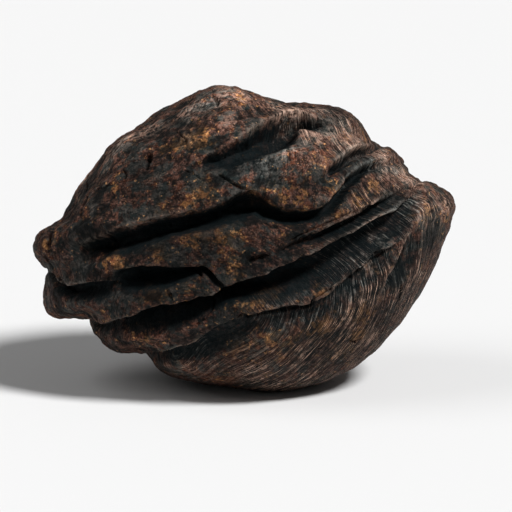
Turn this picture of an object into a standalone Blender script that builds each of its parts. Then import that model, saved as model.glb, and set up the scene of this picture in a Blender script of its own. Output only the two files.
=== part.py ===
"""A meteorite: one stone about 211 mm long, folded into ledges and grooves, resting on its flat-worn belly.

Run with: blender --background --python part.py

The stone is one solid. It is shaped in a face frame, in millimetres: X to the right and Z up across its
carved face, Y away from the viewer, origin at its middle. A closed smooth body comes first, then long ledges
with grooves under them, ridges, hollows and small unevenness are laid along paths on that body. The stone is
last leaned back and cut flat underneath, so that in the world +Z is up, the carved face looks along -Y, and
the origin is at the bottom centre of its bounding box.
"""

import math
from collections import namedtuple

import bmesh
import bpy
import numpy as np
from mathutils import Matrix, Vector, noise

MM = 0.001

# The body: its outline across the carved face, and how far it reaches in front of and behind that outline.
OUTLINE = [
    (104.5, 17), (101, 23), (93.5, 27.5), (86, 30), (81, 36), (74, 45), (66.5, 47), (58, 58), (51, 63.5),
    (28, 66.5), (14, 69), (-6, 75), (-22, 72.5), (-39, 64), (-52, 56), (-66, 47.5), (-76, 33.5),
    (-82, 25), (-87, 16), (-93, 8.5), (-100, 4), (-104, -1), (-104.5, -8), (-99.5, -14.5), (-98.5, -27),
    (-98, -34), (-93, -39), (-80, -40), (-74, -48), (-68.5, -54), (-63, -56.5), (-51.5, -57), (-40, -67),
    (-21, -73), (-6, -74.5), (12, -77), (31, -75), (49, -68), (60, -60.5), (77, -43), (85, -31),
    (96.5, -10), (102.5, 7),
]
RIM_SHARE = (0.74, 0.97)  # the outline's small steps fade out between these shares of the way to the rim
BROAD_WAVES = 5  # what is left further in: this many waves round the outline
REACH_FRONT = 70.0
REACH_BACK = 64.0
FULLNESS = 2.15  # the exponent of the depth section: 2 is an ellipse, more is fuller

# The small unevenness: drawn out along the ledges, which climb to the right at this slope, and smoother on
# the belly, below this height measured square to them.
LEDGE_SLOPE_DEG = 22.0
LEDGE_STRETCH = 1.9
BELLY_TOP = -36.0
BELLY_ROUGH = 0.25  # how much of the lumps and creases is left on the belly
BROAD_SIZE, BROAD_HEIGHT = 34.0, 1.5
LUMP_SIZE, LUMP_HEIGHT = 15.0, 2.4
SMALL_SIZE, SMALL_HEIGHT = 6.5, 1.0
MEAN_HEIGHT = 0.5  # what the lumps add on average, taken off again

# How the stone lies: it leans back from the upright, and this much of its belly is worn flat.
LEAN_DEG = 12.0
FLAT_DEPTH = 3.2

# The faceted solid is sculpted on a fine mesh and then thinned.
CUBE_LEVELS = 7
TRIANGLES = 9600

FRONT = -1
BACK = 1

# A ledge runs along a path, its groove on the right of the path seen from outside (below one that runs to the
# right). Each point is (x, z, side, drop, width): the groove's depth under the edge, and how far it reaches.
Ledge = namedtuple("Ledge", "points undercut lip")
WALL_SHARE, WALL_LEAST = 0.12, 1.0  # how wide the wall under the edge is: a share of the width, and this
FAR_SIDE = (0.45, 1.15)  # the groove's far side comes up between these shares of the width
LIP_BACK, LIP_WIDTH = 2.2, 3.0  # the swelling over the edge: how far back it lies, and how wide it is
LEAN_BACK, LEAN_WIDTH = 0.8, 2.6  # the same for how the edge leans out over the groove
FULL_DROP = 8.0  # a groove shallower than this has less lip and lean
END_FADE = 0.4  # past a path's end the groove fades within this share of its width
PATH_BLEND = 0.7  # parts of a path that lie within about this much of each other share their effect
REACH = 24.0  # nothing is changed further than this from a path
# A ridge swells along a path: each point is (x, z, side, height, half width).
# A hollow is a thumbprint scoop: (x, z, side, depth, radius along, radius across, turn in degrees).
HOLLOW_RIM = 0.25  # the height of the rim round a hollow, as a share of its depth

LEDGES = {
    "crown": Ledge([
        (-82, -3, FRONT, 1, 6), (-76, 1.5, FRONT, 7, 10), (-67, 3.5, FRONT, 12, 13),
        (-55.5, 7, FRONT, 14, 14), (-43.5, 10.5, FRONT, 14, 13), (-28.5, 13, FRONT, 14, 12),
        (-18.5, 15, FRONT, 14, 12), (-10.5, 18, FRONT, 14, 13), (-3.5, 22.5, FRONT, 14, 15),
        (4, 24, FRONT, 14, 17), (10.5, 22, FRONT, 13, 14), (15.5, 17.5, FRONT, 11, 11),
        (21, 15, FRONT, 10, 9), (29, 14.5, FRONT, 9, 8), (36, 16.5, FRONT, 9, 8),
        (41, 20.5, FRONT, 10, 8), (45, 25.5, FRONT, 10, 7), (49.5, 30.5, FRONT, 8, 7),
        (55, 35, FRONT, 7, 6), (61, 37.5, FRONT, 6, 6), (68, 38.5, FRONT, 4, 5), (75, 38.5, FRONT, 1, 4),
        (78, 36, BACK, 1, 6),
        (66, 31, BACK, 7, 10), (44, 26, BACK, 10, 13), (18, 27, BACK, 8, 13), (-4, 33, BACK, 2, 10),
    ], 2.2, 1.2),
    "top_hollow": Ledge([
        (-27, 34, FRONT, 0, 8), (-19, 39.5, FRONT, 5, 11), (-9, 45.5, FRONT, 9, 14), (0, 51, FRONT, 12, 17),
        (8, 56.5, FRONT, 14, 19), (14, 60, FRONT, 14, 19), (21, 62, FRONT, 13, 18),
        (28, 61.5, FRONT, 11, 16), (35.5, 59, FRONT, 7, 12), (44, 55.5, FRONT, 0, 9),
    ], 2.0, 0.8),
    "upper_right": Ledge([
        (36, 28, FRONT, 0, 4), (40, 33, FRONT, 5, 5), (44, 37.5, FRONT, 9, 5.5), (48.5, 42, FRONT, 11, 6.5),
        (53.5, 45, FRONT, 10, 6.5), (59, 46, FRONT, 6, 6), (64.5, 46.5, FRONT, 2, 5), (66, 46, BACK, 1, 6),
        (50, 46, BACK, 7, 10), (28, 45, BACK, 5, 11), (8, 48, BACK, 0, 8),
    ], 1.5, 0.8),
    "shelf": Ledge([
        (18, -5, FRONT, 1, 3), (26, -0.5, FRONT, 4, 4), (33, 2.5, FRONT, 6, 5), (39, 5.5, FRONT, 7, 5),
        (46, 8.5, FRONT, 8, 5), (53, 12, FRONT, 8, 5), (60.5, 16, FRONT, 8, 5), (67, 19.5, FRONT, 5, 5),
        (74, 22.5, FRONT, 3, 5), (80, 25.5, FRONT, 2, 5), (84, 28, FRONT, 1, 5), (86, 28, BACK, 1, 6),
        (80, 20, BACK, 0, 5),
    ], 1.5, 1.0),
    "main_groove": Ledge([
        (-70, -41, FRONT, 0, 8), (-61, -37.5, FRONT, 9, 12), (-51.5, -34, FRONT, 15, 15),
        (-40.5, -30.5, FRONT, 19, 16), (-30, -29, FRONT, 20, 14), (-19, -26, FRONT, 20, 11),
        (-12.5, -24, FRONT, 19, 10), (-6, -21, FRONT, 18, 12), (3, -18, FRONT, 17, 14),
        (10.5, -16, FRONT, 16, 17), (16, -13, FRONT, 16, 18), (22, -10.5, FRONT, 16, 19),
        (29, -7.5, FRONT, 15, 20), (36, -4.5, FRONT, 14, 20), (42, -1, FRONT, 13, 20),
        (52, 4, FRONT, 12, 19), (58.5, 8, FRONT, 12, 18), (66, 12, FRONT, 11, 16),
        (73, 15.5, FRONT, 9, 14), (79, 19.5, FRONT, 6, 11), (83.5, 24, FRONT, 1, 7),
    ], 2.2, 1.2),
    "middle_recess": Ledge([
        (-69, -19, FRONT, 0, 8), (-60, -14, FRONT, 9, 13), (-51.5, -12.5, FRONT, 14, 14),
        (-43.5, -13, FRONT, 14, 13), (-35, -13.5, FRONT, 13, 10), (-26.5, -13, FRONT, 12, 7),
        (-19, -13, FRONT, 9, 5), (-15, -15, FRONT, 8, 5), (-11.5, -19, FRONT, 6, 4),
        (-9, -22, FRONT, 1, 3),
    ], 1.5, 0.8),
    "left_recess": Ledge([
        (-86, -14, BACK, 0, 6), (-96, -14.5, BACK, 1.5, 6), (-99, -14.5, FRONT, 1.5, 4),
        (-96, -15.5, FRONT, 4, 5), (-92, -19, FRONT, 6, 7), (-87, -22, FRONT, 8, 8),
        (-80, -21, FRONT, 10, 10), (-73, -20.5, FRONT, 9, 11), (-66, -21, FRONT, 5, 10),
        (-59, -22, FRONT, 0, 8),
    ], 1.5, 0.8),
    "lower_left_cleft": Ledge([
        (-62, -32, BACK, 0, 6), (-74, -37, BACK, 3, 8), (-80, -40, FRONT, 1, 4),
        (-75, -40.5, FRONT, 5, 6), (-69, -41.5, FRONT, 6, 8), (-62, -41.5, FRONT, 4, 9),
        (-54, -40, FRONT, 2, 9), (-46, -37, FRONT, 0, 8),
    ], 1.0, 0.8),
    "belly_lip": Ledge([
        (-36, -48, BACK, 0, 8), (-46, -54, BACK, 2, 9), (-52, -57, FRONT, 1, 5), (-47, -56, FRONT, 4, 8),
        (-40.5, -54.5, FRONT, 6, 11), (-33.5, -52.5, FRONT, 6, 12), (-26.5, -50.5, FRONT, 6, 13),
        (-20.5, -47, FRONT, 5, 13), (-15.5, -43.5, FRONT, 4.5, 14), (-9, -40, FRONT, 4, 14),
        (0.5, -37, FRONT, 3.5, 14), (8.5, -34.8, FRONT, 3.5, 14), (16, -33.2, FRONT, 3.5, 14),
        (23.5, -32, FRONT, 4, 14), (30, -32, FRONT, 4.5, 14), (39, -28, FRONT, 4.5, 14),
        (45.5, -23, FRONT, 5, 14), (54.5, -16, FRONT, 5.5, 13), (60.5, -11.8, FRONT, 5, 12),
        (65.5, -7, FRONT, 4, 11), (70, -4.8, FRONT, 3, 9), (78, 0.5, FRONT, 1, 6),
    ], 1.8, 1.0),
    "left_nub": Ledge([
        (-82, 19, FRONT, 0, 4), (-87, 13.5, FRONT, 2.5, 5), (-91, 8, FRONT, 4, 6),
        (-93.5, 3, FRONT, 4.5, 6), (-94.5, -2.5, FRONT, 4, 5), (-94, -7, FRONT, 3, 5),
        (-92, -12, FRONT, 0, 4),
    ], 0.8, 0.5),
    "shoulder_leaf": Ledge([
        (68, -33, FRONT, 0, 8), (68.5, -27, FRONT, 2, 9), (70, -21, FRONT, 4, 11), (73, -15, FRONT, 5, 12),
        (76, -9, FRONT, 5, 12), (78.5, -3, FRONT, 4, 11), (80.5, 4, FRONT, 2, 9), (83, 11, FRONT, 0, 8),
    ], 0.8, 0.4),
    "back_shelf": Ledge([
        (92, 0, BACK, 1, 8), (78, 2, BACK, 6, 11), (58, -2, BACK, 11, 15), (34, -3, BACK, 13, 16),
        (8, 3, BACK, 12, 15), (-16, 8, BACK, 9, 13), (-40, 8, BACK, 10, 13), (-62, 2, BACK, 7, 11),
        (-84, 2, BACK, 1, 8),
    ], 2.0, 1.2),
    "back_keel": Ledge([
        (70, -36, BACK, 1, 8), (50, -32, BACK, 7, 13), (26, -30, BACK, 9, 14), (0, -24, BACK, 10, 14),
        (-24, -20, BACK, 9, 13), (-46, -21, BACK, 5, 11), (-60, -25, BACK, 1, 8),
    ], 1.5, 1.0),
    "back_crown": Ledge([
        (-12, 55, BACK, 1, 8), (-28, 48, BACK, 7, 12), (-46, 38, BACK, 9, 13), (-62, 28, BACK, 6, 11),
        (-76, 20, BACK, 1, 8),
    ], 1.5, 1.0),
}

RIDGES = {
    "shoulder": [
        (70, -1, FRONT, 0, 8), (82, 7, FRONT, 2, 9), (93, 15, FRONT, 1, 8), (99, 19, BACK, 0, 8),
    ],
    "belly_fold": [
        (-66, -50, FRONT, 0, 8), (-54, -47, FRONT, 3, 9), (-34, -44, FRONT, 3, 8),
        (-12, -36, FRONT, 2, 7), (14, -30, FRONT, 1, 6), (30, -27, FRONT, 0, 5),
    ],
    "finger": [
        (-90, -28, FRONT, 0, 7), (-72, -30, FRONT, 2, 7), (-50, -27, FRONT, 2.5, 6),
        (-30, -23, FRONT, 2.5, 5), (-16, -20, FRONT, 2, 4), (-10, -21, FRONT, 0, 4),
    ],
    "middle": [
        (-70, -8, FRONT, 0, 9), (-50, -2, FRONT, 2, 9), (-22, 2, FRONT, 2.5, 10), (-2, 2, FRONT, 3, 11),
        (18, 0, FRONT, 2, 10), (36, 10, FRONT, 0, 8),
    ],
    "upper_bulge": [
        (8, 36, FRONT, 0, 12), (24, 32, FRONT, 4, 13), (38, 26, FRONT, 2, 9), (46, 24, FRONT, 0, 7),
    ],
}

HOLLOWS = [
    (-75, -4, FRONT, 6, 12, 8, 20), (22, 48, FRONT, 2, 18, 8, 20), (-30, 62, BACK, 5, 22, 13, 25),
    (42, 58, BACK, 4, 20, 11, -30), (-70, -12, BACK, 5, 18, 11, 10), (60, -52, BACK, 5, 20, 12, 40),
    (-20, -48, BACK, 5, 24, 12, -8), (96, -4, BACK, 4, 14, 10, 70), (18, 14, BACK, 3, 20, 8, 5),
    (-50, 26, BACK, 3, 16, 8, 20), (60, 22, BACK, 4, 14, 10, -15), (-6, 40, BACK, 4, 16, 11, 10),
    (34, -16, BACK, 3, 15, 8, 0), (-78, 12, BACK, 3, 11, 8, 50),
]

STONE_COLOUR = (0.055, 0.038, 0.030, 1.0)
STONE_ROUGHNESS = 0.62


def smoothstep(low, high, value):
    share = np.clip((value - low) / (high - low), 0.0, 1.0)
    return share * share * (3.0 - 2.0 * share)


def bell(value, width):
    return np.exp(-((value / width) ** 2))


def broad_radius(angle):
    """The outline without its small steps: its mean and first few waves."""
    round_it = np.linspace(-math.pi, math.pi, 720, endpoint=False)
    radius = outline_radius(round_it)
    total = np.full_like(angle, radius.mean())
    for wave in range(1, BROAD_WAVES + 1):
        total += 2 * (radius * np.cos(wave * round_it)).mean() * np.cos(wave * angle)
        total += 2 * (radius * np.sin(wave * round_it)).mean() * np.sin(wave * angle)
    return total


def outline_radius(angle):
    """How far the outline lies from the middle in this direction across the face: a smooth closed curve."""
    points = np.array(OUTLINE, float)
    at = np.arctan2(points[:, 1], points[:, 0])
    order = np.argsort(at)
    at, radius = at[order], np.hypot(points[:, 0], points[:, 1])[order]
    at = np.concatenate([at[-2:] - math.tau, at, at[:2] + math.tau])
    radius = np.concatenate([radius[-2:], radius, radius[:2]])
    slope = np.gradient(radius, at)
    i = np.clip(np.searchsorted(at, angle) - 1, 0, len(at) - 2)
    span = at[i + 1] - at[i]
    t = (angle - at[i]) / span
    rise = slope[i] * span
    fall = slope[i + 1] * span
    return (
        radius[i] * (1 + 2 * t) * (1 - t) ** 2 + rise * t * (1 - t) ** 2
        + radius[i + 1] * t * t * (3 - 2 * t) + fall * t * t * (t - 1)
    )


def on_body(directions):
    """The smooth body's points in these directions: unit vectors, with Y away from the viewer."""
    across = np.hypot(directions[:, 0], directions[:, 2])
    deep = np.abs(directions[:, 1])
    full = (across**FULLNESS + deep**FULLNESS) ** (-1.0 / FULLNESS)
    angle = np.arctan2(directions[:, 2], directions[:, 0])
    rim = smoothstep(*RIM_SHARE, across)
    radius = (broad_radius(angle) * (1 - rim) + outline_radius(angle) * rim) * full
    reach = np.where(directions[:, 1] < 0, REACH_FRONT, REACH_BACK) * full
    return directions * np.stack([radius, reach, radius], axis=1)


def body_normals(directions):
    """Outward normals of the smooth body, from two short steps along it."""
    side = np.cross(directions, [0.31, 0.89, 0.33])
    side /= np.linalg.norm(side, axis=1, keepdims=True)
    other = np.cross(directions, side)
    step = 0.004
    here = [on_body(unit(directions + sign * step * way)) for way in (side, other) for sign in (1, -1)]
    return unit(np.cross(here[0] - here[1], here[2] - here[3]))


def unit(vectors):
    return vectors / np.linalg.norm(vectors, axis=1, keepdims=True)


def direction_of(x, z, side):
    """The direction whose body point shows at (x, z) on the face, or behind it."""
    across = math.hypot(x, z)
    tilt = np.linspace(0.0, math.pi / 2, 181)
    ways = np.stack([np.sin(tilt) * x / across, side * np.cos(tilt), np.sin(tilt) * z / across], axis=1)
    body = on_body(ways)
    tilt = np.interp(across, np.hypot(body[:, 0], body[:, 2]), tilt)
    return np.array([math.sin(tilt) * x / across, side * math.cos(tilt), math.sin(tilt) * z / across])


def laid_on_body(points, samples=8):
    """A smooth path through the points, laid on the body: its places, ways along, normals and two sizes."""
    rows = np.array([[*direction_of(x, z, side), *sizes] for x, z, side, *sizes in points])
    rows = np.vstack([2 * rows[0] - rows[1], rows, 2 * rows[-1] - rows[-2]])
    steps = []
    for before, start, end, after in zip(rows, rows[1:], rows[2:], rows[3:]):
        for t in np.arange(samples) / samples:
            steps.append(0.5 * (
                2 * start + (end - before) * t + (2 * before - 5 * start + 4 * end - after) * t * t
                + (3 * start - before - 3 * end + after) * t**3
            ))
    steps = np.array([*steps, rows[-2]])
    directions = unit(steps[:, :3])
    places = on_body(directions)
    along = unit(np.gradient(places, axis=0))
    return places, along, body_normals(directions), steps[:, 3:]


def beside_path(places, path):
    """For each place: its signed distance to the right of the path, its plain distance, the sizes there and
    the way across, each blended between the parts of the path that lie about equally near."""
    spots, along, normals, sizes = path
    start, step = spots[:-1], np.diff(spots, axis=0)
    sideways = unit(np.cross(along, normals))
    found = []
    for some in np.array_split(places, len(places) // 2000 + 1):
        offset = some[:, None, :] - start
        t = np.clip((offset * step).sum(2) / (step**2).sum(1), 0, 1)[:, :, None]
        gap = offset - t * step
        distance = np.sqrt((gap**2).sum(2))
        across = sideways[:-1] * (1 - t) + sideways[1:] * t
        nearness = np.exp((distance.min(1, keepdims=True) - distance) / PATH_BLEND)
        nearness /= nearness.sum(1, keepdims=True)
        side = (nearness * (gap * across).sum(2)).sum(1)
        here = (nearness[:, :, None] * (sizes[:-1] * (1 - t) + sizes[1:] * t)).sum(1)
        across = unit((nearness[:, :, None] * across).sum(1))
        found.append((side, distance.min(1), here, across))
    return [np.concatenate(rows) for rows in zip(*found)]


def near_path(places, path):
    """Which places lie within reach of the path, found roughly by its sample points."""
    chosen = np.zeros(len(places), bool)
    for spot in path[0][::4]:
        chosen |= ((places - spot) ** 2).sum(1) < (1.5 * REACH) ** 2
    return np.flatnonzero(chosen)


def cut_ledge(places, normals, shift, ledge):
    """Adds to shift the ledge's groove, the lip over it and the lip's lean over the groove."""
    path = laid_on_body(ledge.points)
    near = near_path(places, path)
    side, distance, sizes, across = beside_path(places[near], path)
    drop, width = sizes[:, 0], np.maximum(sizes[:, 1], 2.0)
    past_end = np.sqrt(np.maximum(distance**2 - side**2, 0.0))
    drop = drop * bell(past_end, END_FADE * width)
    wall = WALL_SHARE * width + WALL_LEAST
    low, high = FAR_SIDE
    groove = smoothstep(-0.4 * wall, wall, side) * (1 - smoothstep(low * width, high * width, side))
    telling = np.clip(drop / FULL_DROP, 0, 1)
    lip = bell(side + LIP_BACK, LIP_WIDTH) * telling
    lean = bell(side + LEAN_BACK, LEAN_WIDTH) * telling
    shift[near] += (ledge.lip * lip - drop * groove)[:, None] * normals[near]
    shift[near] += (ledge.undercut * lean)[:, None] * across


def raise_ridge(places, normals, shift, points):
    path = laid_on_body(points)
    near = near_path(places, path)
    _, distance, sizes, _ = beside_path(places[near], path)
    height = sizes[:, 0] * bell(distance, sizes[:, 1])
    shift[near] += height[:, None] * normals[near]


def press_hollow(places, normals, shift, hollow):
    x, z, side, depth, radius_along, radius_across, turn = hollow
    way = direction_of(x, z, side)[None]
    centre, normal = on_body(way)[0], body_normals(way)[0]
    right = unit(np.cross([[0, 0, 1.0]], normal))[0]
    up = np.cross(normal, right)
    turn = math.radians(turn)
    along = math.cos(turn) * right + math.sin(turn) * up
    other = np.cross(normal, along)
    offset = places - centre
    away = ((offset @ along) / radius_along) ** 2 + ((offset @ other) / radius_across) ** 2
    away += ((offset @ normal) / radius_along) ** 2
    scoop = np.exp(-(away**1.5)) - HOLLOW_RIM * bell(np.sqrt(away) - 1.35, 0.25)
    shift -= (depth * scoop)[:, None] * normals


def unevenness(place):
    """Lumps and creases drawn out along the ledges, in millimetres of height; the belly is smoother."""
    turn = math.radians(LEDGE_SLOPE_DEG)
    along = place.x * math.cos(turn) + place.z * math.sin(turn)
    up = place.z * math.cos(turn) - place.x * math.sin(turn)
    drawn = Vector((along / LEDGE_STRETCH, place.y, up))
    broad = noise.noise(place / BROAD_SIZE)
    lumps = abs(noise.noise(drawn / LUMP_SIZE + Vector((7.1, 3.3, 9.2))))
    small = abs(noise.noise(drawn / SMALL_SIZE + Vector((1.7, 8.3, 4.4)))) + 0.6 * noise.noise(place / 4.0)
    rough = min(max((up - BELLY_TOP) / 10.0 + 0.35, BELLY_ROUGH), 1.0)
    return BROAD_HEIGHT * broad + rough * (LUMP_HEIGHT * lumps + SMALL_HEIGHT * small - MEAN_HEIGHT)


def sculpt(directions):
    """Where each direction's point of the stone lies, in the face frame, in millimetres."""
    places = on_body(directions)
    normals = body_normals(directions)
    shift = np.zeros_like(places)
    for points in RIDGES.values():
        raise_ridge(places, normals, shift, points)
    for ledge in LEDGES.values():
        cut_ledge(places, normals, shift, ledge)
    for hollow in HOLLOWS:
        press_hollow(places, normals, shift, hollow)
    uneven = np.array([unevenness(Vector(place)) for place in places])
    return places + shift + uneven[:, None] * normals


def ball_of_quads(levels):
    """A cube divided evenly and blown up to a sphere of radius 1, whose faces are all of like size."""
    bpy.ops.mesh.primitive_cube_add(size=2)
    ball = bpy.context.active_object
    mesh = bmesh.new()
    mesh.from_mesh(ball.data)
    for _ in range(levels):
        bmesh.ops.subdivide_edges(mesh, edges=mesh.edges[:], cuts=1, use_grid_fill=True)
    for vertex in mesh.verts:
        vertex.co = Vector([math.tan(c * math.pi / 4) for c in vertex.co]).normalized()
    mesh.to_mesh(ball.data)
    mesh.free()
    return ball


def vertex_array(mesh):
    flat = np.empty(len(mesh.vertices) * 3)
    mesh.vertices.foreach_get("co", flat)
    return flat.reshape(-1, 3)


def thin_out(stone, triangles):
    """Collapses the least telling edges until about this many triangles are left."""
    decimate = stone.modifiers.new("thin_out", "DECIMATE")
    decimate.ratio = triangles / (2 * len(stone.data.polygons))
    decimate.use_collapse_triangulate = True
    bpy.context.view_layer.update()
    thinned = bpy.data.meshes.new_from_object(stone.evaluated_get(bpy.context.evaluated_depsgraph_get()))
    stone.modifiers.remove(decimate)
    stone.data = thinned


def lay_down(stone):
    """Leans the stone back, wears its belly flat and puts the bounding box's bottom centre at the origin."""
    stone.data.transform(Matrix.Rotation(math.radians(-LEAN_DEG), 4, "X") @ Matrix.Scale(MM, 4))
    low = vertex_array(stone.data)[:, 2].min() + FLAT_DEPTH * MM
    mesh = bmesh.new()
    mesh.from_mesh(stone.data)
    geometry = mesh.verts[:] + mesh.edges[:] + mesh.faces[:]
    cut = bmesh.ops.bisect_plane(
        mesh, geom=geometry, plane_co=(0, 0, low), plane_no=(0, 0, 1), clear_inner=True
    )
    rim = [edge for edge in cut["geom_cut"] if isinstance(edge, bmesh.types.BMEdge)]
    bmesh.ops.contextual_create(mesh, geom=rim)
    bmesh.ops.recalc_face_normals(mesh, faces=mesh.faces)
    mesh.to_mesh(stone.data)
    mesh.free()
    corners = vertex_array(stone.data)
    middle = (corners.min(0) + corners.max(0)) / 2
    stone.data.transform(Matrix.Translation((-middle[0], -middle[1], -low)))


def stone_material():
    material = bpy.data.materials.new("fusion_crust")
    material.use_nodes = True
    shader = material.node_tree.nodes["Principled BSDF"]
    shader.inputs["Base Color"].default_value = STONE_COLOUR
    shader.inputs["Roughness"].default_value = STONE_ROUGHNESS
    shader.inputs["Metallic"].default_value = 0.0
    return material


def make_stone(collection):
    stone = ball_of_quads(CUBE_LEVELS)
    stone.name = stone.data.name = "meteorite"
    directions = unit(vertex_array(stone.data))
    stone.data.vertices.foreach_set("co", sculpt(directions).ravel())
    stone.data.update()
    thin_out(stone, TRIANGLES)
    lay_down(stone)
    stone.data.materials.append(stone_material())
    stone.data.shade_smooth()
    stone.data.set_sharp_from_angle(angle=math.radians(50))
    for owner in stone.users_collection:
        owner.objects.unlink(stone)
    collection.objects.link(stone)
    return stone


def main():
    for thing in list(bpy.data.objects):
        bpy.data.objects.remove(thing)
    collection = bpy.data.collections.new("meteorite")
    bpy.context.scene.collection.children.link(collection)
    make_stone(collection)


main()
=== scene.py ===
"""A meteorite with a rusty, flow-lined crust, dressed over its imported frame."""

import math
from collections import namedtuple

import bmesh
import bpy
import numpy as np
from mathutils import Matrix, Vector, noise
from mathutils.bvhtree import BVHTree


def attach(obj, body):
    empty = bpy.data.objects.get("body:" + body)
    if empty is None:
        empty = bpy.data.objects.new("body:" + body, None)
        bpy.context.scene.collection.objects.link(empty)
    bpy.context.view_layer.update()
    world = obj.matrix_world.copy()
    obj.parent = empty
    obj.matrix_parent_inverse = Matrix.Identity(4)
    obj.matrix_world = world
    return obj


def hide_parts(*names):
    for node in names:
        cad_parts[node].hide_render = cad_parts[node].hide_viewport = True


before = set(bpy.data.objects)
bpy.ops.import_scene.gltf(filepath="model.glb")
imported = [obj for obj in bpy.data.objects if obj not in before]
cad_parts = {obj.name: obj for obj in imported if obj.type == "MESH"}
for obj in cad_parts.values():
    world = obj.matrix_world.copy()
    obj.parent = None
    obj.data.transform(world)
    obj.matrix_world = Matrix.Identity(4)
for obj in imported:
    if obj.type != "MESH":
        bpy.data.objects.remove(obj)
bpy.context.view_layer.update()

# ------------------------------------------------------------
# The stone's body. The real piece is one stone, rounded by its fall through the air. Its smooth body is made
# first, in a face frame in millimetres: X right and Z up across the carved face, Y away from the viewer.

MM = 0.001
FRONT = -1
BACK = 1
OUTLINE = [
    (104.5, 17), (101, 23), (93.5, 27.5), (86, 30), (81, 36), (74, 45), (66.5, 47), (58, 58), (51, 63.5),
    (28, 66.5), (14, 69), (-6, 75), (-22, 72.5), (-39, 64), (-52, 56), (-66, 47.5), (-76, 33.5),
    (-82, 25), (-87, 16), (-93, 8.5), (-100, 4), (-104, -1), (-104.5, -8), (-99.5, -14.5), (-98.5, -27),
    (-98, -34), (-93, -39), (-80, -40), (-74, -48), (-68.5, -54), (-63, -56.5), (-51.5, -57), (-40, -67),
    (-21, -73), (-6, -74.5), (12, -77), (31, -75), (49, -68), (60, -60.5), (77, -43), (85, -31),
    (96.5, -10), (102.5, 7),
]
RIM_SHARE = (0.74, 0.97)  # the outline's small steps fade out between these shares of the way to the rim
BROAD_WAVES = 5  # what is left further in: this many waves round the outline
REACH_FRONT = 70.0
REACH_BACK = 64.0
FULLNESS = 2.15
CUBE_LEVELS = 8
FACE_SHARE = 0.30  # how far the mesh is drawn towards the carved face, where the fine surface is


def unit(vectors):
    return vectors / np.linalg.norm(vectors, axis=1, keepdims=True)


def smoothstep(low, high, value):
    share = np.clip((value - low) / (high - low), 0.0, 1.0)
    return share * share * (3.0 - 2.0 * share)


def bell(value, width):
    return np.exp(-((value / width) ** 2))


def outline_radius(angle):
    """How far the outline lies from the middle in this direction across the face: a smooth closed curve."""
    points = np.array(OUTLINE, float)
    at = np.arctan2(points[:, 1], points[:, 0])
    order = np.argsort(at)
    at, radius = at[order], np.hypot(points[:, 0], points[:, 1])[order]
    at = np.concatenate([at[-2:] - math.tau, at, at[:2] + math.tau])
    radius = np.concatenate([radius[-2:], radius, radius[:2]])
    slope = np.gradient(radius, at)
    i = np.clip(np.searchsorted(at, angle) - 1, 0, len(at) - 2)
    span = at[i + 1] - at[i]
    t = (angle - at[i]) / span
    rise = slope[i] * span
    fall = slope[i + 1] * span
    return (
        radius[i] * (1 + 2 * t) * (1 - t) ** 2 + rise * t * (1 - t) ** 2
        + radius[i + 1] * t * t * (3 - 2 * t) + fall * t * t * (t - 1)
    )


def broad_radius(angle):
    """The outline without its small steps: its mean and first few waves."""
    round_it = np.linspace(-math.pi, math.pi, 720, endpoint=False)
    radius = outline_radius(round_it)
    total = np.full_like(angle, radius.mean())
    for wave in range(1, BROAD_WAVES + 1):
        total += 2 * (radius * np.cos(wave * round_it)).mean() * np.cos(wave * angle)
        total += 2 * (radius * np.sin(wave * round_it)).mean() * np.sin(wave * angle)
    return total


def on_body(directions):
    """The smooth body's points in these directions: unit vectors, with Y away from the viewer."""
    across = np.hypot(directions[:, 0], directions[:, 2])
    deep = np.abs(directions[:, 1])
    full = (across**FULLNESS + deep**FULLNESS) ** (-1.0 / FULLNESS)
    angle = np.arctan2(directions[:, 2], directions[:, 0])
    rim = smoothstep(*RIM_SHARE, across)
    radius = (broad_radius(angle) * (1 - rim) + outline_radius(angle) * rim) * full
    reach = np.where(directions[:, 1] < 0, REACH_FRONT, REACH_BACK) * full
    return directions * np.stack([radius, reach, radius], axis=1)


def body_normals(directions):
    """Outward normals of the smooth body, from two short steps along it."""
    side = unit(np.cross(directions, [0.31, 0.89, 0.33]))
    other = np.cross(directions, side)
    step = 0.004
    here = [on_body(unit(directions + sign * step * way)) for way in (side, other) for sign in (1, -1)]
    return unit(np.cross(here[0] - here[1], here[2] - here[3]))


def direction_of(x, z, side):
    """The direction whose body point shows at (x, z) on the face, or behind it."""
    across = math.hypot(x, z)
    tilt = np.linspace(0.0, math.pi / 2, 181)
    ways = np.stack([np.sin(tilt) * x / across, side * np.cos(tilt), np.sin(tilt) * z / across], axis=1)
    body = on_body(ways)
    tilt = np.interp(across, np.hypot(body[:, 0], body[:, 2]), tilt)
    return np.array([math.sin(tilt) * x / across, side * math.cos(tilt), math.sin(tilt) * z / across])


bpy.ops.mesh.primitive_cube_add(size=2)
stone = bpy.context.active_object
stone.name = stone.data.name = "meteorite_stone"
mesh = bmesh.new()
mesh.from_mesh(stone.data)
for _ in range(CUBE_LEVELS):
    bmesh.ops.subdivide_edges(mesh, edges=mesh.edges[:], cuts=1, use_grid_fill=True)
for vertex in mesh.verts:
    vertex.co = Vector([math.tan(c * math.pi / 4) for c in vertex.co]).normalized()
mesh.to_mesh(stone.data)
mesh.free()

corners = np.empty(len(stone.data.vertices) * 3)
stone.data.vertices.foreach_get("co", corners)
directions = unit(corners.reshape(-1, 3))
tilt = np.arccos(np.clip(-directions[:, 1], -1, 1))
drawn_in = tilt - FACE_SHARE * np.sin(tilt)
around = np.hypot(directions[:, 0], directions[:, 2])
around[around == 0] = 1.0
sideways = directions[:, [0, 2]] / around[:, None] * np.sin(drawn_in)[:, None]
directions = np.stack([sideways[:, 0], -np.cos(drawn_in), sideways[:, 1]], axis=1)
body_places = on_body(directions)
normals = body_normals(directions)
shift = np.zeros_like(body_places)

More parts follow.
